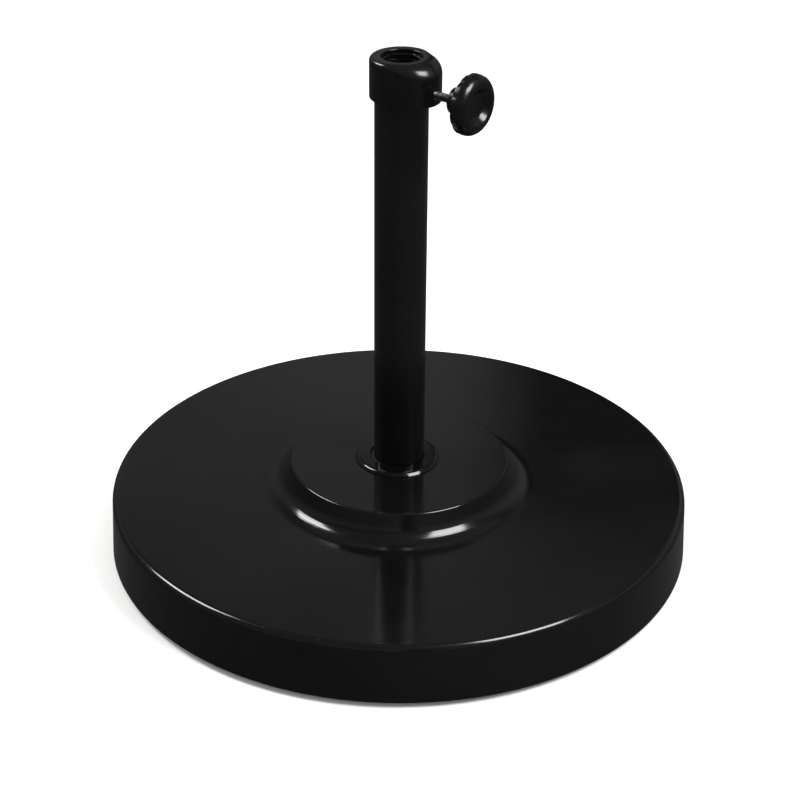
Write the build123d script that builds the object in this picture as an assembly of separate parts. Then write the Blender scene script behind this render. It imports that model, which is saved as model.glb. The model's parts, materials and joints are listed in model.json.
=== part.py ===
from build123d import *
import os
from math import atan2, degrees

# Parasol base: a round, concrete-filled steel foot, a steel stem bolted through it from below,
# and a plastic cap with a clamp screw that holds the parasol's pole in the stem.
# Millimetres, +Z up.  The origin is on the floor, under the middle of the stem.
# The clamp is drawn along +X from the stem's axis and then turned to CLAMP_AZIMUTH.

# ---- Foot ---------------------------------------------------------------------------------
FOOT_STAND = 5.5            # gap between the floor and the shell's hem
DISC_TOP_R = 290.8
SKIRT_BOTTOM_R = 293.9      # the skirt flares a little towards the floor
DISC_TOP_Z = FOOT_STAND + 60.7
RIM_ROUND = 6.5
PLATEAU_R = 109.8
PLATEAU_Z = DISC_TOP_Z + 26.1
PLATEAU_ROUND = 2.3
COVE_R = 23.0               # concave round between the plateau's leaning flank and the disc
COVE_CORNER_R = 119.5       # where the flank would meet the gentle slope below it
COVE_CORNER_RISE = 2.0
SLOPE_FOOT_R = 136.0
SLOPE_FOOT_ROUND = 28.0
SHEET = 1.5                 # steel sheet of the shell
HEM_R = 1.8                 # rolled hem at the bottom of the skirt
FIT_GAP = 0.2               # play between pieces that are only put together

PAN_Z = FOOT_STAND + 2.5    # underside of the closing pan
PAN_SHEET = 1.0
PAN_R = 287.5
PAN_RIB_RADII = (110.0, 190.0)
PAN_RIB_W = 12.0
PAN_RIB_DROP = 2.0
BALLAST_Z = PAN_Z + PAN_SHEET
WELL_R = 44.0               # recess in the underside for the bolt's head
PAN_LIP_DROP = 2.5

FOOT_COUNT = 6
FOOT_PITCH_R = 262.0
FOOT_R = 16.0
FOOT_CHAMFER = 1.2
FOOT_SINK_R = 6.5           # sunk seat for the screw's head
FOOT_SINK_DEPTH = 3.6
FOOT_HEAD_R = 4.8
FOOT_HEAD_H = 2.6
FOOT_SHANK_R = 2.4
FOOT_SHANK_TOP = 30.0
PLUG_R = 4.6
PLUG_TOP = 34.0

# ---- Stem and its fixing ------------------------------------------------------------------
STEM_R = 25.4               # 50.8 mm (2 in) tube
STEM_WALL = 1.5
STEM_BORE_R = STEM_R - STEM_WALL
PLATE_Z = 24.0              # underside of the anchor plate, roof of the recess
PLATE_T = 6.0
PLATE_R = 60.0
STEM_Z = PLATE_Z + PLATE_T
STEM_TOP = 508.0
STUD_COUNT = 4
STUD_PITCH_R = 46.0
STUD_R = 5.0
STUD_HEAD_R = 9.0
STUD_HEAD_H = 5.0
STUD_H = 30.0

BOLT_R = 5.95               # M12
BOLT_CLEAR_R = 6.75
BOLT_HEAD_AF = 19.0
BOLT_HEAD_H = 7.5
BOLT_TIP_Z = 58.0
WASHER_R = 30.0
WASHER_T = 3.0
LOCK_R = 10.5
LOCK_T = 2.6
WELD_PLUG_H = 20.0
CUP_H = 30.0
CUP_FLOOR = 6.0
CUP_STEP_H = 12.0
POLE_LARGE_R = 19.3         # socket for a 38 mm pole
POLE_SMALL_R = 16.3         # socket for a 32 mm pole

# ---- Trim collar at the foot of the stem --------------------------------------------------
COLLAR_R = 42.4
COLLAR_H = 4.6
COLLAR_CREST = (39.6, 4.1)  # where the face turns down: radius, height above the plateau
COLLAR_CREST_ROUND = 5.0
COLLAR_LAND = 0.8           # height of the upright outer edge
COLLAR_INNER_R = 27.2       # the ring is loose on the stem and lies a little to one side
COLLAR_OFFSET_X = -1.6
COLLAR_SKIN = 2.2
SEAL_H = 2.4
SEAL_R = 32.0

# ---- Cap ----------------------------------------------------------------------------------
CAP_TOP = 516.6
CAP_H = 39.5
CAP_Z = CAP_TOP - CAP_H
CAP_R = 30.15
CAP_ROUND = 4.2
CAP_BOTTOM_ROUND = 1.5
CAP_OPENING_R = 19.3
CAP_LIP_H = 3.6             # depth of the recess above the pole guide
CAP_SEAT_R = 21.0
CAP_LIP_ROUND = 0.9
BOSS_NOSE_R = 26.0
BOSS_NOSE_X = 14.0
BOSS_ROUND = 16.0
GUIDE_H = 16.0
GUIDE_HEX_AF = 33.0
GUIDE_HEX_DEPTH = 5.0

# ---- Clamp --------------------------------------------------------------------------------
CLAMP_AZIMUTH = -37.5       # degrees from +X
CLAMP_Z = 487.5
THREAD_R = 4.0              # M8
THREAD_CLEAR = 0.05
CLAMP_HOLE_R = 5.2
INSERT_R = 6.5
INSERT_FLANGE_R = 8.0
INSERT_FLANGE_T = 2.0
INSERT_X = STEM_R + 0.6
INSERT_END_X = 34.0
STUD_HOLE_R = 4.6           # mouth of the stud's hole in the boss
PAD_R = 5.5
PAD_T = 4.0
PAD_X = 17.0                # face of the pad that meets the pole
PAD_POCKET_R = 6.3
PAD_POCKET_X = 24.4         # the pocket goes right through the spigot
TIP_R = 3.0
TIP_DEPTH = 2.5
HUB_X = 59.6
HUB_R = 12.3
KNOB_BACK_X = 74.6
KNOB_R = 28.4
KNOB_BROW_X = 87.4          # where the band would meet the face if it weren't rounded
KNOB_CREST = (89.2, 18.0)   # corners of the face: distance along the clamp's axis, radius
KNOB_DISH = (82.9, 11.2)
KNOB_FLUTES = 12
FLUTE_R = 9.0
FLUTE_DEPTH = 0.8           # at the back; the flutes run out towards the face
KNOB_INSERT_AF = 13.0
KNOB_INSERT_END = 79.0

# ---- Screw at the back of the cap ---------------------------------------------------------
BACK_SCREW_Z = 486.0
BACK_SEAT_R = 4.4
BACK_SEAT_X = 28.6
BACK_HEAD_R = 3.8
BACK_SHANK_R = 1.9
BACK_TIP_X = 21.6


def spin(section):
    """Solid of revolution about Z from a section drawn with x as radius and y as height."""
    return revolve(Plane.XZ * section, axis=Axis.Z)


def rounded(face, corner, radius):
    """Round the corner of a flat section that lies nearest to the given point."""
    return fillet(face.vertices().sort_by_distance(Vector(*corner))[0], radius)


def ring(inner_r, outer_r, z_low, z_high):
    """Plain ring, or disc where the inner radius is zero, between two heights."""
    face = Circle(outer_r) - Circle(inner_r) if inner_r else Circle(outer_r)
    return extrude(Pos(0, 0, z_low) * face, z_high - z_low)


def rod_x(radius, x_low, x_high, z=0.0):
    """Cylinder along X between two distances from the stem's axis."""
    return Plane(origin=(x_low, 0, z), z_dir=(1, 0, 0)) * Cylinder(
        radius, x_high - x_low, align=(Align.CENTER, Align.CENTER, Align.MIN))


def around(piece, count, first=0.0):
    """Copies of a piece at equal steps about Z, as one group."""
    return [Rot(0, 0, first + 360.0 * step / count) * piece for step in range(count)]


def cut_all(body, tools):
    """Take each tool away from a body."""
    for tool in tools:
        body -= tool
    return body


def moved_in(corners, inset):
    """Corners of an open outline, with every side moved to its right-hand side by inset."""
    points = [Vector(*corner) for corner in corners]
    sides = [(there - here).normalized() for here, there in zip(points, points[1:])]
    inward = [Vector(side.Y, -side.X) for side in sides]
    moved = [points[0] + inward[0] * inset]
    for point, before, after in zip(points[1:-1], inward, inward[1:]):
        middle = before + after
        moved.append(point + middle * (inset / middle.dot(before)))
    return moved + [points[-1] + inward[-1] * inset]


def foot_body(inset):
    """The foot as one solid block, with every outer face moved in by inset."""
    outline = moved_in([
        (0, PLATEAU_Z), (PLATEAU_R, PLATEAU_Z), (COVE_CORNER_R, DISC_TOP_Z + COVE_CORNER_RISE),
        (SLOPE_FOOT_R, DISC_TOP_Z), (DISC_TOP_R, DISC_TOP_Z), (SKIRT_BOTTOM_R, FOOT_STAND)], inset)
    hem = Vector(outline[-1].X, FOOT_STAND)
    face = make_face(Polyline(*outline[:-1], hem, (0, FOOT_STAND), close=True))
    rounds = (PLATEAU_ROUND - inset, COVE_R + inset, SLOPE_FOOT_ROUND + inset, RIM_ROUND - inset)
    for corner, radius in zip(outline[1:-1], rounds):
        face = rounded(face, corner, radius)
    return spin(face)


def hem_bead():
    """Rolled bead that ends the skirt."""
    return Pos(0, 0, FOOT_STAND + HEM_R) * Torus(SKIRT_BOTTOM_R - HEM_R, HEM_R)


def make_shell():
    """Pressed steel cover of the foot."""
    skin = foot_body(0) - foot_body(SHEET)
    skin -= ring(0, SKIRT_BOTTOM_R + 1, FOOT_STAND - 1, FOOT_STAND + HEM_R)
    skin += hem_bead()
    return skin - ring(0, STEM_R + FIT_GAP, DISC_TOP_Z, PLATEAU_Z + 1)


def make_anchor_plate():
    """Steel plate cast into the ballast; the stem stands on it and the bolt pulls against it."""
    return ring(BOLT_CLEAR_R, PLATE_R, PLATE_Z, STEM_Z)


def make_anchor_studs():
    """Headed studs that key the plate into the ballast."""
    shank = ring(0, STUD_R, STEM_Z, STEM_Z + STUD_H - STUD_HEAD_H)
    head = ring(0, STUD_HEAD_R, STEM_Z + STUD_H - STUD_HEAD_H, STEM_Z + STUD_H)
    return around(Pos(STUD_PITCH_R, 0, 0) * (shank + head), STUD_COUNT, 45.0)


def make_ballast(anchors, plugs):
    """Concrete fill, cast round the plate, its studs and the screw plugs."""
    fill = foot_body(SHEET)
    fill -= ring(0, SKIRT_BOTTOM_R + 1, FOOT_STAND - 1, BALLAST_Z)
    fill -= hem_bead()
    fill -= ring(0, STEM_R + FIT_GAP, STEM_Z, PLATEAU_Z)
    fill -= ring(0, PLATE_R, PLATE_Z, STEM_Z)
    fill -= ring(0, WELL_R, BALLAST_Z - 1, PLATE_Z)
    return cut_all(fill, anchors + plugs)


def pan_rib(radius):
    """Section of one pressed stiffening ring, as a strip that hangs below the pan."""
    half, drop = PAN_RIB_W / 2, PAN_RIB_DROP
    return make_face(Polyline(
        (radius - half, PAN_Z + PAN_SHEET), (radius - half, PAN_Z), (radius - half + drop, PAN_Z - drop),
        (radius + half - drop, PAN_Z - drop), (radius + half, PAN_Z), (radius + half, PAN_Z + PAN_SHEET),
        (radius + half - drop, PAN_Z - drop + PAN_SHEET), (radius - half + drop, PAN_Z - drop + PAN_SHEET),
        close=True))


def make_base_pan():
    """Closing pan under the ballast, with pressed rings and a turned lip round the recess."""
    pan = ring(WELL_R, PAN_R, PAN_Z, PAN_Z + PAN_SHEET)
    for radius in PAN_RIB_RADII:
        pan -= ring(radius - PAN_RIB_W / 2, radius + PAN_RIB_W / 2, PAN_Z, PAN_Z + PAN_SHEET)
        pan += spin(pan_rib(radius))
    pan += ring(WELL_R, WELL_R + PAN_SHEET, PAN_Z - PAN_LIP_DROP, PAN_Z)
    hole = ring(0, FOOT_SHANK_R + FIT_GAP, PAN_Z - 1, BALLAST_Z + 1)
    return cut_all(pan, around(Pos(FOOT_PITCH_R, 0, 0) * hole, FOOT_COUNT, 30.0))


def foot_pad():
    """One rubber foot with a sunk seat for its screw."""
    pad = chamfer(ring(0, FOOT_R, 0, PAN_Z).edges().group_by(Axis.Z)[0], FOOT_CHAMFER)
    pad -= ring(0, FOOT_SINK_R, -1, FOOT_SINK_DEPTH)
    return pad - ring(0, FOOT_SHANK_R + FIT_GAP, 0, PAN_Z + 1)


def foot_screw():
    """Pan-head screw that holds a foot and the pan to the ballast."""
    head = ring(0, FOOT_HEAD_R, FOOT_SINK_DEPTH - FOOT_HEAD_H, FOOT_SINK_DEPTH)
    head = fillet(head.edges().group_by(Axis.Z)[0], FOOT_HEAD_H * 0.6)
    for turn in (0, 90):
        head -= Rot(0, 0, turn) * Pos(0, 0, FOOT_SINK_DEPTH - FOOT_HEAD_H) * Box(4.6, 1.0, 2.2)
    return head + ring(0, FOOT_SHANK_R, FOOT_SINK_DEPTH, FOOT_SHANK_TOP)


def screw_plug():
    """Plastic plug cast into the ballast for a foot's screw."""
    plug = ring(FOOT_SHANK_R, PLUG_R, BALLAST_Z, FOOT_SHANK_TOP)
    return plug + ring(0, PLUG_R, FOOT_SHANK_TOP, PLUG_TOP)


def at_feet(piece):
    """Copies of a piece at the six feet."""
    return around(Pos(FOOT_PITCH_R, 0, 0) * piece, FOOT_COUNT, 30.0)


def make_stem_tube():
    """Steel stem with holes for the clamp screw and for the screw at the cap's back."""
    tube = ring(STEM_BORE_R, STEM_R, STEM_Z, STEM_TOP)
    tube -= to_clamp(rod_x(CLAMP_HOLE_R, STEM_BORE_R - 3, STEM_R + 3, CLAMP_Z))
    return tube - to_back(rod_x(BACK_SHANK_R, STEM_BORE_R - 3, STEM_R + 3, BACK_SCREW_Z))


def make_weld_plug():
    """Tapped plug welded into the stem's lower end."""
    return ring(BOLT_R, STEM_BORE_R, STEM_Z, STEM_Z + WELD_PLUG_H)


def make_stem_bolt():
    """Hexagon bolt that pulls the stem down on to the anchor plate."""
    seat = PLATE_Z - WASHER_T - LOCK_T
    hexagon = RegularPolygon(BOLT_HEAD_AF / 2, 6, major_radius=False)
    head = extrude(Pos(0, 0, seat - BOLT_HEAD_H) * hexagon, BOLT_HEAD_H)
    crown = ring(0, BOLT_HEAD_AF / 2 + 1.0, seat - BOLT_HEAD_H, seat)
    head &= chamfer(crown.edges().group_by(Axis.Z)[0], 1.2)
    shank = chamfer(ring(0, BOLT_R, seat, BOLT_TIP_Z).edges().group_by(Axis.Z)[-1], 1.0)
    return head + shank


def make_lock_washer():
    """Split spring washer under the bolt's head."""
    low = PLATE_Z - WASHER_T - LOCK_T
    washer = ring(BOLT_R + FIT_GAP, LOCK_R, low, low + LOCK_T)
    return washer - Rot(0, 0, 20) * Pos(LOCK_R - 2, 0, low) * Rot(25, 0, 0) * Box(8, 0.9, 9)


def make_pole_cup():
    """Stepped cup at the bottom of the stem that centres the foot of a 38 mm or a 32 mm pole."""
    low = STEM_Z + WELD_PLUG_H
    cup = ring(0, STEM_BORE_R - FIT_GAP, low, low + CUP_H)
    cup -= ring(0, BOLT_R + 1, low - 1, low + CUP_H)
    cup -= ring(0, POLE_SMALL_R, low + CUP_FLOOR, low + CUP_H)
    step = low + CUP_FLOOR + CUP_STEP_H
    cup -= ring(0, POLE_LARGE_R, step, low + CUP_H)
    mouth = spin(make_face(Polyline((0, low + CUP_H - 4), (POLE_LARGE_R, low + CUP_H - 4),
                                    (STEM_BORE_R - 1.2, low + CUP_H), (0, low + CUP_H), close=True)))
    return cup - mouth


def make_trim_collar():
    """Trim ring that covers the joint of stem and foot: flat, with a turned-down outer edge."""
    seat = PLATEAU_Z + SEAL_H
    crest_r, rise = COLLAR_CREST
    inner = (COLLAR_INNER_R, PLATEAU_Z + COLLAR_H)
    crest = (crest_r, PLATEAU_Z + rise)
    edge = (COLLAR_R, PLATEAU_Z + COLLAR_LAND)
    section = make_face(Polyline(
        (COLLAR_INNER_R, seat), inner, crest, edge, (COLLAR_R, PLATEAU_Z), (COLLAR_R - COLLAR_SKIN, PLATEAU_Z),
        (crest_r - COLLAR_SKIN, seat), close=True))
    for corner, radius in ((crest, COLLAR_CREST_ROUND), (edge, 0.6), (inner, 0.8)):
        section = rounded(section, corner, radius)
    return Pos(COLLAR_OFFSET_X, 0, 0) * spin(section)


def make_collar_seal():
    """Rubber ring round the stem, under the collar."""
    return ring(STEM_R, SEAL_R, PLATEAU_Z, PLATEAU_Z + SEAL_H)


def to_clamp(piece):
    """Turn what was drawn along +X to the clamp's side."""
    return Rot(0, 0, CLAMP_AZIMUTH) * piece


def to_back(piece):
    """Turn what was drawn along +X to the side opposite the clamp."""
    return Rot(0, 0, CLAMP_AZIMUTH + 180) * piece


def cap_boss():
    """Egg-shaped block round the stem and the clamp's nut, with a deep shoulder on top."""
    plan = make_hull((Circle(CAP_R) + Pos(BOSS_NOSE_X, 0) * Circle(BOSS_NOSE_R)).edges())
    block = extrude(Pos(0, 0, CAP_Z) * plan, CAP_H)
    block = fillet(block.edges().group_by(Axis.Z)[-1], BOSS_ROUND)
    return fillet(block.edges().group_by(Axis.Z)[0], CAP_BOTTOM_ROUND)


def make_cap():
    """Cap over the stem's top: outer ring and boss, inner spigot, lip over the pole guide."""
    barrel = ring(0, CAP_R, CAP_Z, CAP_TOP)
    barrel = fillet(barrel.edges().group_by(Axis.Z)[-1], CAP_ROUND)
    barrel = fillet(barrel.edges().group_by(Axis.Z)[0], CAP_BOTTOM_ROUND)
    cap = to_clamp(cap_boss()) + barrel
    cap -= ring(0, CAP_SEAT_R, CAP_Z - 1, CAP_TOP - CAP_LIP_H)
    opening = ring(0, CAP_OPENING_R, CAP_TOP - CAP_LIP_H - 1, CAP_TOP)
    flare_z = CAP_TOP - CAP_LIP_ROUND
    flare = make_face(Polyline((0, CAP_TOP), (CAP_OPENING_R + CAP_LIP_ROUND, CAP_TOP),
                               (CAP_OPENING_R, flare_z), (0, flare_z), close=True))
    cap -= opening + spin(flare)
    cap -= ring(STEM_BORE_R - FIT_GAP, STEM_R + FIT_GAP, CAP_Z - 1, STEM_TOP)
    drills = [rod_x(CLAMP_HOLE_R, CAP_SEAT_R - 2, STEM_R, CLAMP_Z),
              rod_x(PAD_POCKET_R, CAP_SEAT_R - 3, PAD_POCKET_X, CLAMP_Z),
              rod_x(INSERT_FLANGE_R, STEM_R, INSERT_X + INSERT_FLANGE_T, CLAMP_Z),
              rod_x(INSERT_R, INSERT_X, INSERT_END_X, CLAMP_Z),
              rod_x(STUD_HOLE_R, INSERT_END_X, BOSS_NOSE_X + BOSS_NOSE_R + 2, CLAMP_Z)]
    cap = cut_all(cap, [to_clamp(drill) for drill in drills])
    back = [rod_x(BACK_SHANK_R, CAP_SEAT_R - 2, CAP_R, BACK_SCREW_Z),
            rod_x(BACK_SEAT_R, BACK_SEAT_X, CAP_R + 2, BACK_SCREW_Z)]
    return cut_all(cap, [to_back(drill) for drill in back])


def make_cap_screw():
    """Self-tapping screw through the back of the cap and the stem's wall."""
    head = rod_x(BACK_HEAD_R, BACK_SEAT_X, BACK_SEAT_X + 2.4, BACK_SCREW_Z)
    head = fillet(head.edges().group_by(Axis.X)[-1], 1.6)
    for turn in (0, 90):
        head -= Pos(BACK_SEAT_X + 2.4, 0, BACK_SCREW_Z) * Rot(turn, 0, 0) * Box(2.2, 4.0, 0.9)
    return to_back(head + rod_x(BACK_SHANK_R, BACK_TIP_X, BACK_SEAT_X, BACK_SCREW_Z))


def make_pole_guide():
    """Ring clipped under the cap's lip: hexagonal lead-in above a round bore for the pole."""
    top = CAP_TOP - CAP_LIP_H
    guide = ring(POLE_SMALL_R, CAP_SEAT_R - 0.05, top - GUIDE_H, top)
    hexagon = RegularPolygon(GUIDE_HEX_AF / 2, 6, major_radius=False)
    return guide - extrude(Pos(0, 0, top - GUIDE_HEX_DEPTH) * hexagon, GUIDE_HEX_DEPTH)


def make_thread_insert():
    """Flanged brass nut in the boss; its bore stands in for an M8 thread."""
    nut = rod_x(INSERT_R, INSERT_X, INSERT_END_X, CLAMP_Z)
    nut += rod_x(INSERT_FLANGE_R, INSERT_X, INSERT_X + INSERT_FLANGE_T, CLAMP_Z)
    return to_clamp(nut - rod_x(THREAD_R + THREAD_CLEAR, INSERT_X - 1, INSERT_END_X + 1, CLAMP_Z))


def make_clamp_pad():
    """Plastic shoe on the screw's tip that presses on the pole without turning."""
    pad = rod_x(PAD_R, PAD_X, PAD_X + PAD_T, CLAMP_Z)
    pad = chamfer(pad.edges().group_by(Axis.X)[0], 0.6)
    socket = rod_x(TIP_R + THREAD_CLEAR, PAD_X + PAD_T - TIP_DEPTH, PAD_X + PAD_T + 1, CLAMP_Z)
    return to_clamp(pad - socket)


def make_clamp_stud():
    """M8 stud from the pad into the knob, with a turned-down tip."""
    tip_end = PAD_X + PAD_T + THREAD_CLEAR
    tip = rod_x(TIP_R, PAD_X + PAD_T - TIP_DEPTH + THREAD_CLEAR, tip_end, CLAMP_Z)
    stud = rod_x(THREAD_R, tip_end, KNOB_INSERT_END - 1, CLAMP_Z)
    return to_clamp(tip + chamfer(stud.edges().group_by(Axis.X)[0], 0.6))


def knob_blank():
    """The knob's turned shape, drawn with x along the clamp's axis and y as radius."""
    hub = (HUB_X, HUB_R)
    back = (KNOB_BACK_X, KNOB_R)
    brow = (KNOB_BROW_X, KNOB_R)
    middle = (KNOB_DISH[0], 0)
    face = make_face(Polyline((HUB_X, 0), hub, (KNOB_BACK_X, HUB_R), back, brow, KNOB_CREST, KNOB_DISH,
                              middle, close=True))
    for corner, radius in ((hub, 1.0), (back, 1.5), (brow, 9.5), (KNOB_CREST, 4.0), (KNOB_DISH, 6.0)):
        face = rounded(face, corner, radius)
    return Pos(0, 0, CLAMP_Z) * revolve(face, axis=Axis.X)


def flute():
    """Rod that cuts a finger flute: full depth at the knob's back, nothing at its face."""
    length = KNOB_BROW_X - KNOB_BACK_X
    lean = degrees(atan2(FLUTE_DEPTH, length))
    rod = Rot(0, -lean, 0) * rod_x(FLUTE_R, -length, length)
    return Pos(KNOB_BACK_X, 0, KNOB_R + FLUTE_R - FLUTE_DEPTH) * rod


def insert_hexagon(start):
    """Hexagonal bar from a distance along the clamp's axis to the insert's blind end."""
    hexagon = RegularPolygon(KNOB_INSERT_AF / 2, 6, major_radius=False)
    return extrude(Plane(origin=(start, 0, CLAMP_Z), z_dir=(1, 0, 0)) * hexagon, KNOB_INSERT_END - start)


def make_knob():
    """Round knob with a hub, shallow finger flutes on its band and a dished face."""
    knob = knob_blank()
    for step in range(KNOB_FLUTES):
        knob -= Pos(0, 0, CLAMP_Z) * Rot(360.0 * step / KNOB_FLUTES, 0, 0) * flute()
    return to_clamp(knob - insert_hexagon(HUB_X - 1))


def make_knob_insert():
    """Hexagonal brass insert moulded into the knob; the stud is locked in it."""
    return to_clamp(insert_hexagon(HUB_X) - rod_x(THREAD_R, HUB_X - 1, KNOB_INSERT_END - 1, CLAMP_Z))


def save(name, shape):
    """Write one node; a list of separate solids becomes one group."""
    solid = Compound(children=shape) if isinstance(shape, list) else shape
    export_step(solid, f"parts/{name}.step")


os.makedirs("parts", exist_ok=True)

anchor_studs = make_anchor_studs()
screw_plugs = at_feet(screw_plug())
foot_screws = at_feet(foot_screw())

save("shell", make_shell())
save("ballast", make_ballast(anchor_studs, at_feet(ring(0, PLUG_R, BALLAST_Z - 1, PLUG_TOP))))
save("base_pan", make_base_pan())
save("feet", at_feet(foot_pad()))
save("foot_screws", foot_screws)
save("screw_plugs", screw_plugs)
save("anchor_plate", make_anchor_plate())
save("anchor_studs", anchor_studs)
save("stem_tube", make_stem_tube())
save("weld_plug", make_weld_plug())
save("stem_bolt", make_stem_bolt())
save("lock_washer", make_lock_washer())
save("flat_washer", ring(BOLT_CLEAR_R, WASHER_R, PLATE_Z - WASHER_T, PLATE_Z))
save("pole_cup", make_pole_cup())
save("trim_collar", make_trim_collar())
save("collar_seal", make_collar_seal())
save("cap", make_cap())
save("cap_screw", make_cap_screw())
save("pole_guide", make_pole_guide())
save("thread_insert", make_thread_insert())
save("clamp_pad", make_clamp_pad())
save("clamp_stud", make_clamp_stud())
save("knob", make_knob())
save("knob_insert", make_knob_insert())
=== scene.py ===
import json
import math

import bpy
from mathutils import Matrix, Vector


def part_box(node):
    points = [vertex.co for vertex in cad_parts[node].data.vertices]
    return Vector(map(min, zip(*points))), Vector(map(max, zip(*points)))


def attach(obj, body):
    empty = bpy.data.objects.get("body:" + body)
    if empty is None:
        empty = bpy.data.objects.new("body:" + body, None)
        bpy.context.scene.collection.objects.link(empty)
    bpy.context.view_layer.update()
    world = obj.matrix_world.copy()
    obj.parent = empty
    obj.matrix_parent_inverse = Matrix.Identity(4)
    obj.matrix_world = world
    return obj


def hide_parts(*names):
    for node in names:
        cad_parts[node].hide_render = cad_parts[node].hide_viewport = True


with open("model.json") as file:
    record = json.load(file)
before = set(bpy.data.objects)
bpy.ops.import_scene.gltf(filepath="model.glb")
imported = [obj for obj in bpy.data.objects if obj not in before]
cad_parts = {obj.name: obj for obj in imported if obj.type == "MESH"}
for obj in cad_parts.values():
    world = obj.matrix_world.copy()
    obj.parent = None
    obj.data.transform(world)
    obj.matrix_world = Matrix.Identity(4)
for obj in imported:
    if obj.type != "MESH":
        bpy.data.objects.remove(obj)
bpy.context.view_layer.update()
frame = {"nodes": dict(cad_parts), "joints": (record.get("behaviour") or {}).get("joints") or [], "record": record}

# Parasol base: the visible skins, their materials and a plain studio.
# Shapes are worked out in millimetres in the CAD frame and turned into metres when a mesh is made.
MM = 0.001

# ---- Sizes that the skins need and the frame's boxes don't give (mm) -----------------------
SHEET = 1.5
HEM_R = 1.8
HEM_TURN = math.radians(270)
HEM_STEPS = 18
SKIRT_FLARE = 3.1
PLATEAU_R = 109.8
PLATEAU_RISE = 26.1
PLATEAU_ROUND = 2.3
COVE_CORNER_R = 119.5       # where the plateau's flank would meet the gentle slope below it
COVE_CORNER_RISE = 2.0
COVE_R = 23.0
SLOPE_FOOT_R = 136.0
SLOPE_FOOT_ROUND = 28.0
RIM_ROUND = 6.5
STEM_HOLE_R = 25.6
STEM_WALL = 1.5
FIT_GAP = 0.2
COLLAR_INNER_R = 27.2
COLLAR_CREST = (2.8, 4.1)   # where the face turns down: in from the outer edge, and height
COLLAR_CREST_ROUND = 5.0
COLLAR_LAND = 0.8           # height of the upright outer edge
COLLAR_SKIN = 2.2
EDGE_BREAK = 0.3            # softly broken edges
CAP_R = 30.15
CAP_ROUND = 4.2
CAP_FOOT_ROUND = 1.5
CAP_MOUTH_ROUND = 0.9
CAP_OPENING_R = 19.3
CAP_LIP_H = 3.6
CAP_SEAT_R = 21.0
BOSS_NOSE_R = 26.0
BOSS_NOSE_X = 14.0
BOSS_ROUND = 16.0
STUD_HOLE_R = 4.6
BORE_R = 16.3
HEX_AF = 33.0
HEX_DEPTH = 5.0
THREAD_PITCH = 1.25
THREAD_DEPTH = 0.75
THREAD_HALF_GROOVE = 0.42   # in pitches
THREAD_ROOT_CUT = 1.15      # flattens the V at its root
THREAD_ROWS = 10            # rows of points in each pitch
TIP_L = 2.5                 # turned-down tip of the clamp screw
TIP_R = 3.0
THREAD_END_DEPTH = 0.8      # the thread runs out to this depth at both ends
HUB_R = 12.3
HUB_L = 15.0
HUB_ROUND = 1.0
KNOB_BACK_ROUND = 1.5
KNOB_BROW = 27.8            # corners of the knob's face, measured from the hub's end
KNOB_BROW_ROUND = 9.5
KNOB_CREST, CREST_R, CREST_ROUND = 29.6, 18.0, 4.0
KNOB_DISH, DISH_R, DISH_ROUND = 23.3, 11.2, 6.0
KNOB_FLUTES = 12
FLUTE_DEPTH = 0.8           # at the knob's back; the flutes run out towards the face
FLUTE_INNER_R = 20.0
INSERT_AF = 13.0
FOOT_COUNT = 6
FOOT_R = 16.0
FOOT_PITCH_R = 262.0
FOOT_SCREW_R = 2.6
FOOT_SINK_R = 6.5
FOOT_SINK_DEPTH = 3.6
SOLE_GROOVES_R = (13.6, 9.8)  # outer edges of the grooves in a sole
SOLE_GROOVE_DEPTH = 0.8
PAN_SHEET = 1.0
PAN_RINGS_R = (110.0, 190.0)
PAN_RING_HALF = 6.0
PAN_RING_DROP = 2.0
PAN_ROUND = 1.2
PAN_RECESS_R = 44.0
PAN_LIP_H = 2.5
WEAR_INSET = 3.5            # the rubbed spots lie on the rim's round, this far inside its edge
WEAR_HALF_WIDTH = 1.4

ARC_STEP = math.radians(6.0)
ARC_RUN = 3.0
GUARD = 0.35                # extra points this near to an arc keep long flats truly flat


# ---- Geometry helpers ----------------------------------------------------------------------
def node_mm(name):
    """Lowest and highest corner of a CAD node in millimetres."""
    low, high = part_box(name)
    return Vector(low) / MM, Vector(high) / MM


def round_path(corners, closed=True):
    """Points along a path whose corners are (x, y) or (x, y, radius), with arcs at the radii."""
    count = len(corners)
    points = []
    for index, corner in enumerate(corners):
        here = Vector(corner[:2])
        radius = corner[2] if len(corner) > 2 else 0.0
        is_end = not closed and index in (0, count - 1)
        if radius <= 0.0 or is_end:
            points.append(here)
            continue
        back = (Vector(corners[index - 1][:2]) - here).normalized()
        ahead = (Vector(corners[(index + 1) % count][:2]) - here).normalized()
        turn = math.pi - back.angle(ahead)
        reach = radius * math.tan(turn / 2)
        centre = here + (back + ahead).normalized() * (radius / math.cos(turn / 2))
        start, end = here + back * reach - centre, here + ahead * reach - centre
        sweep = start.angle_signed(end)
        steps = max(2, math.ceil(abs(sweep) / ARC_STEP), math.ceil(abs(sweep) * radius / ARC_RUN))
        first = math.atan2(start.y, start.x)
        for step in range(steps + 1):
            angle = first - sweep * step / steps
            points.append(centre + radius * Vector((math.cos(angle), math.sin(angle))))
    return guarded(points, closed)


def guarded(points, closed):
    """Adds a point just inside both ends of every long straight run."""
    result = []
    count = len(points)
    for index, here in enumerate(points):
        result.append(here)
        if not closed and index == count - 1:
            break
        there = points[(index + 1) % count]
        run = there - here
        if run.length > 6 * GUARD:
            step = run.normalized() * GUARD
            result += [here + step, there - step]
    return result


SHARP_EDGE = math.radians(38)
SLOT_OF = {entry["node"]: entry["material_slot"] for entry in frame["record"]["subparts"]}


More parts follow.
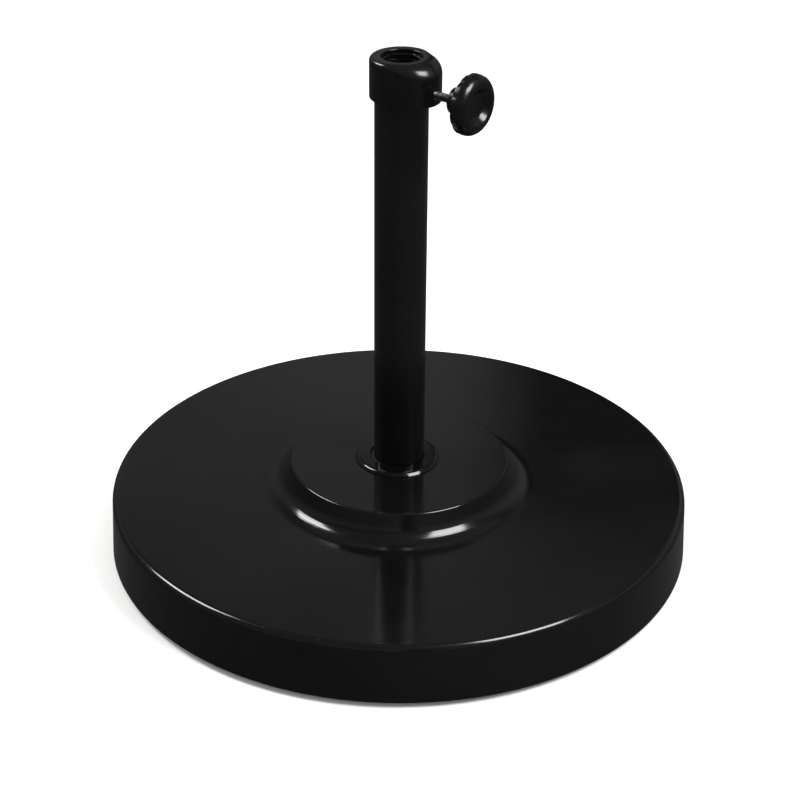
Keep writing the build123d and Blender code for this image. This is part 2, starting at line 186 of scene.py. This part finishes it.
def make_object(name, points, faces, look, body, node):
    """Mesh object from points in millimetres that stands for a CAD node and rides on its body."""
    mesh = bpy.data.meshes.new(name)
    mesh.from_pydata([Vector(point) * MM for point in points], [], faces)
    mesh.validate()
    mesh.shade_smooth()
    mesh.set_sharp_from_angle(angle=SHARP_EDGE)
    mesh.materials.append(finish[look])
    piece = bpy.data.objects.new(name, mesh)
    bpy.context.scene.collection.objects.link(piece)
    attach(piece, body)
    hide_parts(node)
    return piece


def skin(columns, closed=True):
    """Points and faces of a surface through columns of points set round an axis.

    A closed column is a loop; an open one starts and ends on the axis, where all columns share one point.
    """
    rows = len(columns[0])
    count = len(columns)
    faces = []
    if closed:
        points = [point for column in columns for point in column]
        for turn in range(count):
            here, there = turn * rows, (turn + 1) % count * rows
            for row in range(rows):
                after = (row + 1) % rows
                faces.append((here + row, there + row, there + after, here + after))
        return points, faces
    inner = rows - 2
    points = [columns[0][0], columns[0][-1]]
    points += [point for column in columns for point in column[1:-1]]
    for turn in range(count):
        here, there = 2 + turn * inner, 2 + (turn + 1) % count * inner
        faces.append((0, there, here))
        faces += [(here + row, there + row, there + row + 1, here + row + 1) for row in range(inner - 1)]
        faces.append((1, here + inner - 1, there + inner - 1))
    return points, faces


def swept(section_at, segments, closed=True, place=None, first=0.0):
    """Surface round Z, or round another axis with place, through (radius, height) sections.

    section_at gives the section at an angle; that angle is counted from the direction first.
    """
    place = place or Matrix.Identity(4)
    columns = []
    for step in range(segments):
        angle = math.tau * step / segments
        across = Vector((math.cos(angle + first), math.sin(angle + first), 0.0))
        columns.append([place @ (across * radius + Vector((0, 0, height)))
                        for radius, height in section_at(angle)])
    return skin(columns, closed)


def turned(section, segments, closed=True, place=None):
    """Solid of revolution from one (radius, height) section."""
    return swept(lambda angle: section, segments, closed, place)


# ---- Where things are ----------------------------------------------------------------------
shell_low, shell_high = node_mm("shell")
stem_low, stem_high = node_mm("stem_tube")
collar_low, collar_high = node_mm("trim_collar")
seal_low, seal_high = node_mm("collar_seal")
cap_low, cap_high = node_mm("cap")
guide_low, guide_high = node_mm("pole_guide")
pan_high = node_mm("base_pan")[1]

joints = {joint["name"]: joint for joint in frame["joints"]}
clamp_inward = Vector(joints["knob_turn"]["axis"]).normalized()
clamp_out = -clamp_inward
clamp_centre = Vector(joints["knob_turn"]["pos_m"]) / MM
clamp_side = Vector((0, 0, 1)).cross(clamp_out)

SKIRT_R = shell_high.x
DISC_R = SKIRT_R - SKIRT_FLARE
PLATEAU_Z = shell_high.z
DISC_Z = PLATEAU_Z - PLATEAU_RISE
HEM_Z = shell_low.z
STEM_R = stem_high.x
CAP_TOP, CAP_Z = cap_high.z, cap_low.z


# ---- Materials -----------------------------------------------------------------------------
def grey(level, tint=(1.0, 1.0, 1.0)):
    """Colour of a given lightness, with an optional tint."""
    return (*(level * part for part in tint), 1)


def new_material(name):
    """A material with an empty Principled shader; returns the material, its tree and the shader."""
    material = bpy.data.materials.new(name)
    material.use_nodes = True
    tree = material.node_tree
    tree.nodes.clear()
    shader = tree.nodes.new("ShaderNodeBsdfPrincipled")
    output = tree.nodes.new("ShaderNodeOutputMaterial")
    tree.links.new(shader.outputs[0], output.inputs["Surface"])
    return material, tree, shader


def add(tree, kind, settings=(), **inputs):
    """Adds a shader node; inputs are values or sockets, with _ for a space in the socket's name."""
    made = tree.nodes.new("ShaderNode" + kind)
    for key, value in dict(settings).items():
        setattr(made, key, value)
    for key, value in inputs.items():
        key = int(key[1:]) if key[0] == "i" and key[1:].isdigit() else key.replace("_", " ")
        if isinstance(value, bpy.types.NodeSocket):
            tree.links.new(value, made.inputs[key])
        else:
            made.inputs[key].default_value = value
    return made.outputs[0]


def object_point(tree):
    """Place on the object, in metres."""
    return tree.nodes.new("ShaderNodeTexCoord").outputs["Object"]


def noise(tree, scale, detail=3.0, stretch=(1.0, 1.0, 1.0)):
    """Smooth noise between 0 and 1; scale is in waves per metre."""
    place = add(tree, "Mapping", Vector=object_point(tree), Scale=stretch)
    return add(tree, "TexNoise", Vector=place, Scale=scale, Detail=detail)


def spread(tree, value, low, high, to_low, to_high):
    """Value from one range to another, clamped."""
    return add(tree, "MapRange", Value=value, From_Min=low, From_Max=high, To_Min=to_low, To_Max=to_high)


def mix_colour(tree, factor, first, second):
    """Blend of two colours."""
    made = tree.nodes.new("ShaderNodeMix")
    made.data_type = "RGBA"
    for socket, value in ((made.inputs[0], factor), (made.inputs[6], first), (made.inputs[7], second)):
        if isinstance(value, bpy.types.NodeSocket):
            tree.links.new(value, socket)
        else:
            socket.default_value = value
    return made.outputs[2]


def ramp(tree, value, stops):
    """Grey that follows a value through (value, grey) stops."""
    made = tree.nodes.new("ShaderNodeValToRGB")
    tree.links.new(value, made.inputs["Fac"])
    marks = made.color_ramp.elements
    while len(marks) < len(stops):
        marks.new(0.5)
    for mark, (place, grey) in zip(marks, stops):
        mark.position, mark.color = place, (grey, grey, grey, 1)
    return made.outputs["Color"]


def math_node(tree, operation, first, second=0.0):
    """Arithmetic on one or two values."""
    return add(tree, "Math", {"operation": operation}, i0=first, i1=second)


def bump(tree, height, distance, strength=1.0, under=None):
    """Bump from a height between 0 and 1; distance is the relief in metres."""
    extra = {"Normal": under} if under else {}
    return add(tree, "Bump", Height=height, Distance=distance, Strength=strength, **extra)


def gloss(name, colour, dust, roughness, peel, ior=1.5):
    """Glossy lacquer or moulding: faint mottling, patchy gloss, fine scratches and orange peel."""
    material, tree, shader = new_material(name)
    patches = noise(tree, 9.0, 4.0)
    specks = spread(tree, noise(tree, 420.0, 6.0), 0.60, 0.78, 0.0, 1.0)
    scratches = spread(tree, noise(tree, 160.0, 3.0, (0.05, 1.0, 1.0)), 0.60, 0.75, 0.0, 1.0)
    tint = mix_colour(tree, spread(tree, patches, 0.35, 0.70, 0.0, 0.35), colour, dust)
    tint = mix_colour(tree, math_node(tree, "MULTIPLY", specks, 0.35), tint, dust)
    tree.links.new(tint, shader.inputs["Base Color"])
    rough = spread(tree, patches, 0.30, 0.75, roughness, roughness + 0.06)
    rough = math_node(tree, "ADD", rough, math_node(tree, "MULTIPLY", scratches, 0.05))
    tree.links.new(rough, shader.inputs["Roughness"])
    shader.inputs["IOR"].default_value = ior
    relief = bump(tree, noise(tree, 650.0, 2.0), peel, 0.35)
    relief = bump(tree, scratches, 0.00001, 0.3, relief)
    tree.links.new(relief, shader.inputs["Normal"])
    return material, tree, shader


def enamel(name, worn):
    """Black stove enamel; the shell's rim has a few spots rubbed dull."""
    colour, dust = (0.0026, 0.0026, 0.0030, 1), (0.007, 0.007, 0.0075, 1)
    material, tree, shader = gloss(name, colour, dust, 0.10, 0.00002)
    if not worn:
        return material
    split = tree.nodes.new("ShaderNodeSeparateXYZ")
    tree.links.new(object_point(tree), split.inputs[0])
    across = add(tree, "CombineXYZ", X=split.outputs[0], Y=split.outputs[1])
    radius = tree.nodes.new("ShaderNodeVectorMath")
    radius.operation = "LENGTH"
    tree.links.new(across, radius.inputs[0])
    off_rim = math_node(tree, "SUBTRACT", radius.outputs["Value"], (DISC_R - WEAR_INSET) * MM)
    near_rim = spread(tree, math_node(tree, "ABSOLUTE", off_rim), 0.4 * MM, WEAR_HALF_WIDTH * MM,
                      1.0, 0.0)
    high = spread(tree, split.outputs[2], (DISC_Z - 6) * MM, (DISC_Z - 2) * MM, 0.0, 1.0)
    cells = spread(tree, noise(tree, 210.0, 4.0), 0.67, 0.69, 0.0, 1.0)
    rubbed = math_node(tree, "MULTIPLY", math_node(tree, "MULTIPLY", near_rim, high), cells)
    keys = ("Base Color", "Roughness", "Normal")
    base, rough, relief = (shader.inputs[key].links[0].from_socket for key in keys)
    tint = mix_colour(tree, rubbed, base, grey(0.008))
    rough = math_node(tree, "ADD", rough, math_node(tree, "MULTIPLY", rubbed, 0.12))
    relief = bump(tree, math_node(tree, "SUBTRACT", 1.0, rubbed), 0.00001, 1.0, relief)
    for key, value in zip(keys, (tint, rough, relief)):
        tree.links.new(value, shader.inputs[key])
    return material


def plastic(name, colour, dust, roughness):
    """Black moulded plastic with a fine grain."""
    return gloss(name, colour, dust, roughness, 0.00003, 1.47)[0]


def metal(name, colour, dark, roughness, stretch=(1.0, 1.0, 1.0), scale=300.0):
    """Plated, plain or turned metal with drawn lines and dull patches."""
    material, tree, shader = new_material(name)
    lines = noise(tree, scale, 4.0, stretch)
    stains = noise(tree, 45.0, 4.0)
    tint = mix_colour(tree, spread(tree, stains, 0.40, 0.75, 0.0, 0.7), colour, dark)
    tint = mix_colour(tree, spread(tree, lines, 0.45, 0.8, 0.0, 0.4), tint, dark)
    tree.links.new(tint, shader.inputs["Base Color"])
    tree.links.new(spread(tree, lines, 0.3, 0.7, roughness, roughness + 0.15), shader.inputs["Roughness"])
    shader.inputs["Metallic"].default_value = 1.0
    tree.links.new(bump(tree, lines, 0.00002, 0.4), shader.inputs["Normal"])
    return material


def galvanised(name):
    """Zinc-coated sheet with its crystal spangle."""
    material, tree, shader = new_material(name)
    cells = tree.nodes.new("ShaderNodeTexVoronoi")
    cells.inputs["Scale"].default_value = 75.0
    tree.links.new(object_point(tree), cells.inputs["Vector"])
    shade = add(tree, "SeparateXYZ", Vector=cells.outputs["Color"])
    dull, bright, stain = (0.42, 0.43, 0.45, 1), (0.62, 0.63, 0.65, 1), (0.30, 0.30, 0.30, 1)
    tint = mix_colour(tree, spread(tree, shade, 0.0, 1.0, 0.0, 1.0), dull, bright)
    tint = mix_colour(tree, spread(tree, noise(tree, 30.0, 5.0), 0.5, 0.8, 0.0, 0.6), tint, stain)
    tree.links.new(tint, shader.inputs["Base Color"])
    tree.links.new(spread(tree, shade, 0.0, 1.0, 0.32, 0.50), shader.inputs["Roughness"])
    shader.inputs["Metallic"].default_value = 0.6
    tree.links.new(bump(tree, noise(tree, 260.0), 0.00004, 0.4), shader.inputs["Normal"])
    return material


def grainy(name, colour, dark, roughness, scale, relief):
    """Matt rubber, plastic or concrete with grain and blotches."""
    material, tree, shader = new_material(name)
    grain = noise(tree, scale, 6.0)
    blotches = noise(tree, 26.0, 4.0)
    tint = mix_colour(tree, spread(tree, grain, 0.35, 0.70, 0.0, 0.8), colour, dark)
    tint = mix_colour(tree, spread(tree, blotches, 0.45, 0.75, 0.0, 0.5), tint, dark)
    tree.links.new(tint, shader.inputs["Base Color"])
    rough = spread(tree, grain, 0.3, 0.7, roughness - 0.08, roughness + 0.08)
    tree.links.new(rough, shader.inputs["Roughness"])
    tree.links.new(bump(tree, grain, relief, 0.7), shader.inputs["Normal"])
    return material


COOL = (1.0, 1.0, 1.15)
WARM = (1.0, 0.98, 0.94)
finish = {
    "shell": enamel("enamel_worn", True),
    "enamel": enamel("enamel", False),
    "black_trim": plastic("black_trim", grey(0.0015, COOL), grey(0.006), 0.10),
    "black_plastic": plastic("black_plastic", grey(0.0021, COOL), grey(0.006, COOL), 0.20),
    "grey_plastic": grainy("grey_plastic", grey(0.11), grey(0.06), 0.45, 500.0, 0.00003),
    "black_rubber": grainy("black_rubber", grey(0.022), grey(0.010), 0.65, 700.0, 0.00005),
    "concrete": grainy("concrete", grey(0.44, WARM), grey(0.25, WARM), 0.85, 240.0, 0.0006),
    "zinc_sheet": galvanised("zinc_sheet"),
    "zinc_steel": metal("zinc_steel", grey(0.34, WARM), grey(0.19, WARM), 0.16),
    "mill_steel": metal("mill_steel", grey(0.36, WARM), grey(0.16, WARM), 0.40),
    "brass": metal("brass", (0.80, 0.58, 0.25, 1), (0.45, 0.32, 0.14, 1), 0.22),
}


# ---- Pieces of the foot and stem -----------------------------------------------------------
def shell_section():
    """Pressed cover with its rolled hem, as a closed loop of (radius, height)."""
    inner_skirt, inner_disc = SKIRT_R - SHEET, DISC_R - SHEET
    hem_centre = Vector((SKIRT_R - HEM_R, HEM_Z + HEM_R))
    skirt_foot = (SKIRT_R - 0.05, hem_centre.y)
    cove_z = DISC_Z + COVE_CORNER_RISE
    outside = round_path([
        (STEM_HOLE_R, PLATEAU_Z - SHEET), (STEM_HOLE_R, PLATEAU_Z), (PLATEAU_R, PLATEAU_Z, PLATEAU_ROUND),
        (COVE_CORNER_R, cove_z, COVE_R), (SLOPE_FOOT_R, DISC_Z, SLOPE_FOOT_ROUND),
        (DISC_R, DISC_Z, RIM_ROUND), skirt_foot,
    ], closed=False)
    roll = [hem_centre + HEM_R * Vector((math.cos(angle), math.sin(angle)))
            for angle in (-HEM_TURN * step / HEM_STEPS for step in range(1, HEM_STEPS + 1))]
    inside = round_path([
        (inner_skirt - 0.1, hem_centre.y + HEM_R + 1), (inner_disc, DISC_Z - SHEET, RIM_ROUND - SHEET),
        (SLOPE_FOOT_R, DISC_Z - SHEET), (COVE_CORNER_R - SHEET, cove_z - SHEET, COVE_R + SHEET),
        (PLATEAU_R - SHEET, PLATEAU_Z - SHEET, PLATEAU_ROUND - SHEET), (STEM_HOLE_R + 2, PLATEAU_Z - SHEET),
    ], closed=False)
    return outside + roll + inside


def make_shell():
    """Foot cover."""
    points, faces = turned(shell_section(), 288)
    make_object("shell_skin", points, faces, "shell", "base", "shell")


def make_stem():
    """Stem tube with softly broken ends."""
    inner = STEM_R - STEM_WALL
    section = round_path([(inner, stem_low.z), (STEM_R, stem_low.z, 0.3), (STEM_R, stem_high.z, 0.3),
                          (inner, stem_high.z, 0.3)])
    points, faces = turned(section, 192)
    make_object("stem_skin", points, faces, "enamel", "base", "stem_tube")


def make_collar():
    """Trim collar: a flat ring with a turned-down edge, which lies loose round the stem."""
    base, seat = collar_low.z, seal_high.z
    outer = (collar_high.x - collar_low.x) / 2
    inset, rise = COLLAR_CREST
    section = round_path([
        (COLLAR_INNER_R, seat), (COLLAR_INNER_R, collar_high.z, 0.8),
        (outer - inset, base + rise, COLLAR_CREST_ROUND), (outer, base + COLLAR_LAND, 0.6),
        (outer, base), (outer - COLLAR_SKIN, base), (outer - inset - COLLAR_SKIN, seat),
    ])
    points, faces = turned(section, 192, place=Matrix.Translation((collar_high.x - outer, 0, 0)))
    make_object("collar_skin", points, faces, "black_trim", "base", "trim_collar")


def make_seal():
    """Rubber ring round the stem, under the collar."""
    low, high = seal_low.z, seal_high.z
    section = round_path([(STEM_R, low), (seal_high.x, low), (seal_high.x, high, 0.6), (STEM_R, high, 0.6)])
    points, faces = turned(section, 128)
    make_object("seal_skin", points, faces, "black_rubber", "base", "collar_seal")


# ---- Cap and pole guide --------------------------------------------------------------------
def egg_radius(angle):
    """Outline of the cap in plan: hull of the ring and the smaller nose, angle from the clamp's side."""
    lean = math.acos((CAP_R - BOSS_NOSE_R) / BOSS_NOSE_X)
    nose_edge = math.atan2(BOSS_NOSE_R * math.sin(lean), BOSS_NOSE_X + BOSS_NOSE_R * math.cos(lean))
    turn = abs(math.remainder(angle, math.tau))
    if turn <= nose_edge:
        return BOSS_NOSE_X * math.cos(turn) + math.sqrt(BOSS_NOSE_R**2 - (BOSS_NOSE_X * math.sin(turn))**2)
    if turn < lean:
        return CAP_R / math.cos(lean - turn)
    return CAP_R


def ease(value):
    """Smooth step from 0 to 1."""
    value = min(1.0, max(0.0, value))
    return value * value * (3 - 2 * value)


def cap_section(angle):
    """Closed loop through the cap at one angle from the clamp's side."""
    outer = egg_radius(angle)
    turn = abs(math.remainder(angle, math.tau))
    shoulder = CAP_ROUND + (BOSS_ROUND - CAP_ROUND) * ease(1.0 - turn / math.radians(90))
    groove_in, groove_out = STEM_R - STEM_WALL - FIT_GAP, STEM_R + FIT_GAP
    return round_path([
        (CAP_SEAT_R, CAP_Z, 0.4), (groove_in, CAP_Z, EDGE_BREAK), (groove_in, stem_high.z),
        (groove_out, stem_high.z), (groove_out, CAP_Z, EDGE_BREAK), (outer, CAP_Z, CAP_FOOT_ROUND),
        (outer, CAP_TOP, shoulder), (CAP_OPENING_R, CAP_TOP, CAP_MOUTH_ROUND),
        (CAP_OPENING_R, CAP_TOP - CAP_LIP_H, EDGE_BREAK), (CAP_SEAT_R, CAP_TOP - CAP_LIP_H),
    ])


def drilled(piece, start, end, radius):
    """Cuts a round hole along the clamp's axis between two distances from the stem's axis."""
    section = [(0, start), (radius, start), (radius, end), (0, end)]
    points, faces = turned(section, 48, closed=False, place=clamp_place())
    cutter_mesh = bpy.data.meshes.new("drill")
    cutter_mesh.from_pydata([Vector(point) * MM for point in points], [], faces)
    cutter = bpy.data.objects.new("drill", cutter_mesh)
    bpy.context.scene.collection.objects.link(cutter)
    cut = piece.modifiers.new("hole", "BOOLEAN")
    cut.operation, cut.solver, cut.object = "DIFFERENCE", "EXACT", cutter
    graph = bpy.context.evaluated_depsgraph_get()
    result = bpy.data.meshes.new_from_object(piece.evaluated_get(graph))
    piece.modifiers.clear()
    piece.data = result
    result.set_sharp_from_angle(angle=SHARP_EDGE)
    bpy.data.objects.remove(cutter)


def clamp_place():
    """Turns what is drawn along Z on to the clamp's axis, measured from the stem's axis."""
    up = Vector((0, 0, 1))
    place = Matrix((clamp_side, up, clamp_out)).transposed().to_4x4()
    place.translation = clamp_centre
    return place


def make_cap():
    """Cap with its egg-shaped boss and deep shoulder."""
    clamp_heading = math.atan2(clamp_out.y, clamp_out.x)
    points, faces = swept(cap_section, 240, first=clamp_heading)
    piece = make_object("cap_skin", points, faces, "black_plastic", "base", "cap")
    drilled(piece, BOSS_NOSE_R, BOSS_NOSE_X + BOSS_NOSE_R + 3, STUD_HOLE_R)


def hexagon_radius(angle, across_flats):
    """Distance from the middle of a hexagon to its edge; the flats face +Y and -Y."""
    off_flat = (angle % math.radians(60)) - math.radians(30)
    return across_flats / 2 / math.cos(off_flat)


def guide_section(angle):
    """Closed loop through the pole guide at one angle: hexagonal lead-in over a round bore."""
    low, top = guide_low.z, guide_high.z
    hole = hexagon_radius(angle, HEX_AF)
    return round_path([
        (BORE_R, low, 0.6), (guide_high.x, low, 0.4), (guide_high.x, top), (hole, top, 1.0),
        (hole, top - HEX_DEPTH), (BORE_R, top - HEX_DEPTH, 0.1),
    ])


def make_guide():
    """Pole guide."""
    points, faces = swept(guide_section, 192)
    make_object("guide_skin", points, faces, "black_plastic", "base", "pole_guide")


# ---- Clamp ---------------------------------------------------------------------------------
def along_clamp(name):
    """Lowest and highest distance of a CAD node from the stem's axis, along the clamp's axis (mm)."""
    reach = [clamp_out.dot(vertex.co / MM) for vertex in frame["nodes"][name].data.vertices]
    return min(reach), max(reach)


def thread_radius(distance, angle, major):
    """Radius of a right-hand V thread with flat crests and roots."""
    phase = (distance / THREAD_PITCH - angle / math.tau) % 1.0
    depth = max(0.0, 1.0 - abs(phase - 0.5) / THREAD_HALF_GROOVE)
    return major - THREAD_DEPTH * min(1.0, depth * THREAD_ROOT_CUT)


def stud_section(angle):
    """Section of the clamp screw at one angle, from its tip to the end inside the knob."""
    start, end = along_clamp("clamp_stud")
    low, high = node_mm("clamp_stud")
    major = (high.z - low.z) / 2
    thread_start = start + TIP_L
    rows = round((end - thread_start) / THREAD_PITCH * THREAD_ROWS)
    section = [(0.0, start), (TIP_R - 0.4, start), (TIP_R, start + 0.4), (TIP_R, thread_start)]
    for row in range(rows + 1):
        distance = thread_start + (end - thread_start) * row / rows
        fade = max(0.0, min(1.0, distance - thread_start, end - distance))
        crest = thread_radius(distance, angle, major)
        section.append((crest + (major - THREAD_END_DEPTH - crest) * (1.0 - fade), distance))
    return section + [(0.0, end)]


def make_stud():
    """Clamp screw with its thread and turned-down tip."""
    points, faces = swept(stud_section, 48, closed=False, place=clamp_place())
    make_object("stud_skin", points, faces, "zinc_steel", "clamp_screw", "clamp_stud")


def knob_section(angle):
    """Section of the knob at one angle, from the floor of its socket round to the dish's middle."""
    back = along_clamp("knob")[0]
    low, high = node_mm("knob")
    rim = (high.z - low.z) / 2
    band = back + HUB_L, back + KNOB_BROW
    socket = hexagon_radius(angle, INSERT_AF)
    socket_end = along_clamp("knob_insert")[1]
    outline = round_path([
        (0.0, socket_end), (socket, socket_end), (socket, back), (HUB_R, back, HUB_ROUND),
        (HUB_R, back + HUB_L, HUB_ROUND), (rim, band[0], KNOB_BACK_ROUND), (rim, band[1], KNOB_BROW_ROUND),
        (CREST_R, back + KNOB_CREST, CREST_ROUND), (DISH_R, back + KNOB_DISH, DISH_ROUND),
        (0.0, back + KNOB_DISH),
    ], closed=False)
    flute = math.cos(KNOB_FLUTES * angle / 2) ** 8 * FLUTE_DEPTH
    for point in outline:
        fade = min(1.0, max(0.0, (band[1] - point.y) / (band[1] - band[0])))
        point.x -= flute * fade * ease((point.x - FLUTE_INNER_R) / (rim - FLUTE_INNER_R))
    return outline


def make_knob():
    """Clamp knob: hub, fluted rim and a dished face inside a rounded bead."""
    points, faces = swept(knob_section, 240, closed=False, place=clamp_place())
    make_object("knob_skin", points, faces, "black_plastic", "clamp_screw", "knob")


# ---- Underside -----------------------------------------------------------------------------
def make_feet():
    """Rubber feet with ridged soles and a sunk seat for each screw."""
    low, high = node_mm("feet")
    groove = low.z + SOLE_GROOVE_DEPTH
    ridges = [corner for edge in SOLE_GROOVES_R
              for corner in ((edge, low.z, EDGE_BREAK), (edge - 0.6, groove),
                             (edge - 1.4, groove), (edge - 2.0, low.z, EDGE_BREAK))]
    section = round_path([
        (FOOT_SCREW_R, high.z), (FOOT_R, high.z, 0.4), (FOOT_R, low.z, 1.2), *ridges,
        (FOOT_SINK_R, low.z, 0.4), (FOOT_SINK_R, FOOT_SINK_DEPTH), (FOOT_SCREW_R, FOOT_SINK_DEPTH),
    ])
    points, faces = [], []
    for step in range(FOOT_COUNT):
        angle = math.radians(30) + math.tau * step / FOOT_COUNT
        place = Matrix.Translation((FOOT_PITCH_R * math.cos(angle), FOOT_PITCH_R * math.sin(angle), 0))
        more_points, more_faces = turned(section, 72, place=place)
        faces += [tuple(index + len(points) for index in face) for face in more_faces]
        points += more_points
    make_object("feet_skin", points, faces, "black_rubber", "base", "feet")


def pressed_rings(surface):
    """Corners of the pan's pressed rings on one side of its sheet, from the inside out."""
    corners = []
    sunk = surface - PAN_RING_DROP
    for radius in PAN_RINGS_R:
        inner, outer = radius - PAN_RING_HALF, radius + PAN_RING_HALF
        corners += [(inner, surface, PAN_ROUND), (inner + PAN_RING_DROP, sunk, PAN_ROUND),
                    (outer - PAN_RING_DROP, sunk, PAN_ROUND), (outer, surface, PAN_ROUND)]
    return corners


def make_pan():
    """Galvanised closing pan with two pressed rings and a turned lip round the bolt's recess."""
    top = pan_high.z
    under = top - PAN_SHEET
    recess, lip_z = PAN_RECESS_R, under - PAN_LIP_H
    section = round_path([
        (recess, top, 0.6), (recess, lip_z), (recess + PAN_SHEET, lip_z), (recess + PAN_SHEET, under, 0.6),
        *pressed_rings(under), (pan_high.x, under), (pan_high.x, top), *pressed_rings(top)[::-1],
    ])
    points, faces = turned(section, 240)
    make_object("pan_skin", points, faces, "zinc_sheet", "base", "base_pan")


for make in (make_shell, make_stem, make_collar, make_seal, make_cap, make_guide, make_stud,
             make_knob, make_feet, make_pan):
    make()

for name, node in frame["nodes"].items():
    for material_slot in node.material_slots:
        material_slot.material = finish[SLOT_OF[name]]


# ---- Studio --------------------------------------------------------------------------------
CAMERA_TILT = math.radians(28.905)
CAMERA_ROLL = math.radians(0.417)
CAMERA_DISTANCE = 1.9234
CAMERA_TARGET = Vector((-0.0004, 0.0, 0.1591))
CAMERA_LENS = 86.65
LIGHT_DISTANCE = 2.2
LIGHT_STRENGTH = 17.0       # radiance of the softboxes, in watts per square metre and steradian

# Grey of the room in the reflections, against the height of the direction looked at.
ROOM_GREYS = ((0.0, 0.080), (0.30, 0.215), (0.46, 0.265), (0.58, 0.175), (0.64, 0.092), (0.70, 0.085),
              (0.78, 0.20), (0.95, 0.15))
LEFT_FADE, LEFT_SHADE = (-0.13, -0.03), 0.8
# The room's dark corner: where it begins and ends across the view and in height, and how dark it is.
CORNER_BEGINS, CORNER_ENDS = (0.036, 0.066), (0.20, 0.32)
CORNER_FOOT, CORNER_TOP = (0.0, 0.20), (0.53, 0.575)
CORNER_DARKNESS = 0.92
EVEN_LIGHT = grey(0.9)
WHITE = grey(1.0)
FLOOR_HALF = 20.0


def make_camera():
    """Camera in front of the base, a little above it, level but for a slight roll."""
    ahead = Vector((0, math.cos(CAMERA_TILT), -math.sin(CAMERA_TILT)))
    right = Vector((1, 0, 0))
    up = right.cross(ahead)
    turned_right = right * math.cos(CAMERA_ROLL) + up * math.sin(CAMERA_ROLL)
    turned_up = up * math.cos(CAMERA_ROLL) - right * math.sin(CAMERA_ROLL)
    camera = bpy.data.objects.new("camera", bpy.data.cameras.new("camera"))
    camera.data.lens = CAMERA_LENS
    camera.matrix_world = Matrix((turned_right, turned_up, -ahead)).transposed().to_4x4()
    camera.location = CAMERA_TARGET - ahead * CAMERA_DISTANCE
    bpy.context.scene.collection.objects.link(camera)
    bpy.context.scene.camera = camera


def make_softbox(name, azimuth, elevation, roll, width, height):
    """Oblong area light aimed at the base; azimuth is counted from the camera's side towards +X."""
    turn, rise = math.radians(azimuth), math.radians(elevation)
    away = Vector((math.sin(turn) * math.cos(rise), -math.cos(turn) * math.cos(rise), math.sin(rise)))
    light = bpy.data.lights.new(name, "AREA")
    light.shape, light.size, light.size_y = "RECTANGLE", width, height
    light.energy = LIGHT_STRENGTH * math.pi * width * height
    lamp = bpy.data.objects.new(name, light)
    facing = away.to_track_quat("Z", "Y").to_matrix() @ Matrix.Rotation(math.radians(roll), 3, "Z")
    lamp.location = away * LIGHT_DISTANCE + Vector((0, 0, 0.2))
    lamp.rotation_euler = facing.to_euler()
    lamp.visible_camera = False
    bpy.context.scene.collection.objects.link(lamp)


def make_world():
    """White paper for the camera, even light for matt surfaces, and a grey room in the reflections."""
    world = bpy.data.worlds.new("studio")
    world.use_nodes = True
    tree = world.node_tree
    tree.nodes.clear()
    heading = tree.nodes.new("ShaderNodeTexCoord").outputs["Generated"]
    split = tree.nodes.new("ShaderNodeSeparateXYZ")
    tree.links.new(heading, split.inputs[0])
    across, height = split.outputs[0], split.outputs[2]
    shade = ramp(tree, height, ROOM_GREYS)
    shade = math_node(tree, "MULTIPLY", shade, spread(tree, across, *LEFT_FADE, LEFT_SHADE, 1.0))
    corner = spread(tree, across, *CORNER_BEGINS, 0.0, CORNER_DARKNESS)
    for fade in (spread(tree, across, *CORNER_ENDS, 1.0, 0.0), spread(tree, height, *CORNER_TOP, 1.0, 0.0),
                 spread(tree, height, *CORNER_FOOT, 0.0, 1.0)):
        corner = math_node(tree, "MULTIPLY", corner, fade)
    room = math_node(tree, "MULTIPLY", shade, math_node(tree, "SUBTRACT", 1.0, corner))
    path = tree.nodes.new("ShaderNodeLightPath")
    even = mix_colour(tree, path.outputs["Is Diffuse Ray"], room, EVEN_LIGHT)
    seen = mix_colour(tree, path.outputs["Is Camera Ray"], even, WHITE)
    background = tree.nodes.new("ShaderNodeBackground")
    tree.links.new(seen, background.inputs["Color"])
    output = tree.nodes.new("ShaderNodeOutputWorld")
    tree.links.new(background.outputs[0], output.inputs["Surface"])
    bpy.context.scene.world = world


def make_floor():
    """Plain pale floor that the glossy skins don't mirror and that is clear from below."""
    material, tree, shader = new_material("floor")
    shader.inputs["Base Color"].default_value = (0.86, 0.86, 0.85, 1)
    shader.inputs["Roughness"].default_value = 0.9
    side = tree.nodes.new("ShaderNodeNewGeometry").outputs["Backfacing"]
    clear = tree.nodes.new("ShaderNodeBsdfTransparent")
    blend = tree.nodes.new("ShaderNodeMixShader")
    tree.links.new(side, blend.inputs[0])
    tree.links.new(shader.outputs[0], blend.inputs[1])
    tree.links.new(clear.outputs[0], blend.inputs[2])
    output = next(node for node in tree.nodes if node.type == "OUTPUT_MATERIAL")
    tree.links.new(blend.outputs[0], output.inputs["Surface"])
    mesh = bpy.data.meshes.new("floor")
    corners = [(FLOOR_HALF * x, FLOOR_HALF * y, 0) for x, y in ((-1, -1), (1, -1), (1, 1), (-1, 1))]
    mesh.from_pydata(corners, [], [(0, 1, 2, 3)])
    mesh.materials.append(material)
    floor = bpy.data.objects.new("floor", mesh)
    floor.visible_glossy = False
    bpy.context.scene.collection.objects.link(floor)


make_camera()
make_softbox("left_softbox", azimuth=-108, elevation=45, roll=40, width=0.88, height=0.66)
make_softbox("right_softbox", azimuth=57, elevation=48, roll=-23, width=1.02, height=0.98)
make_world()
make_floor()
bpy.context.scene.view_settings.view_transform = "Standard"
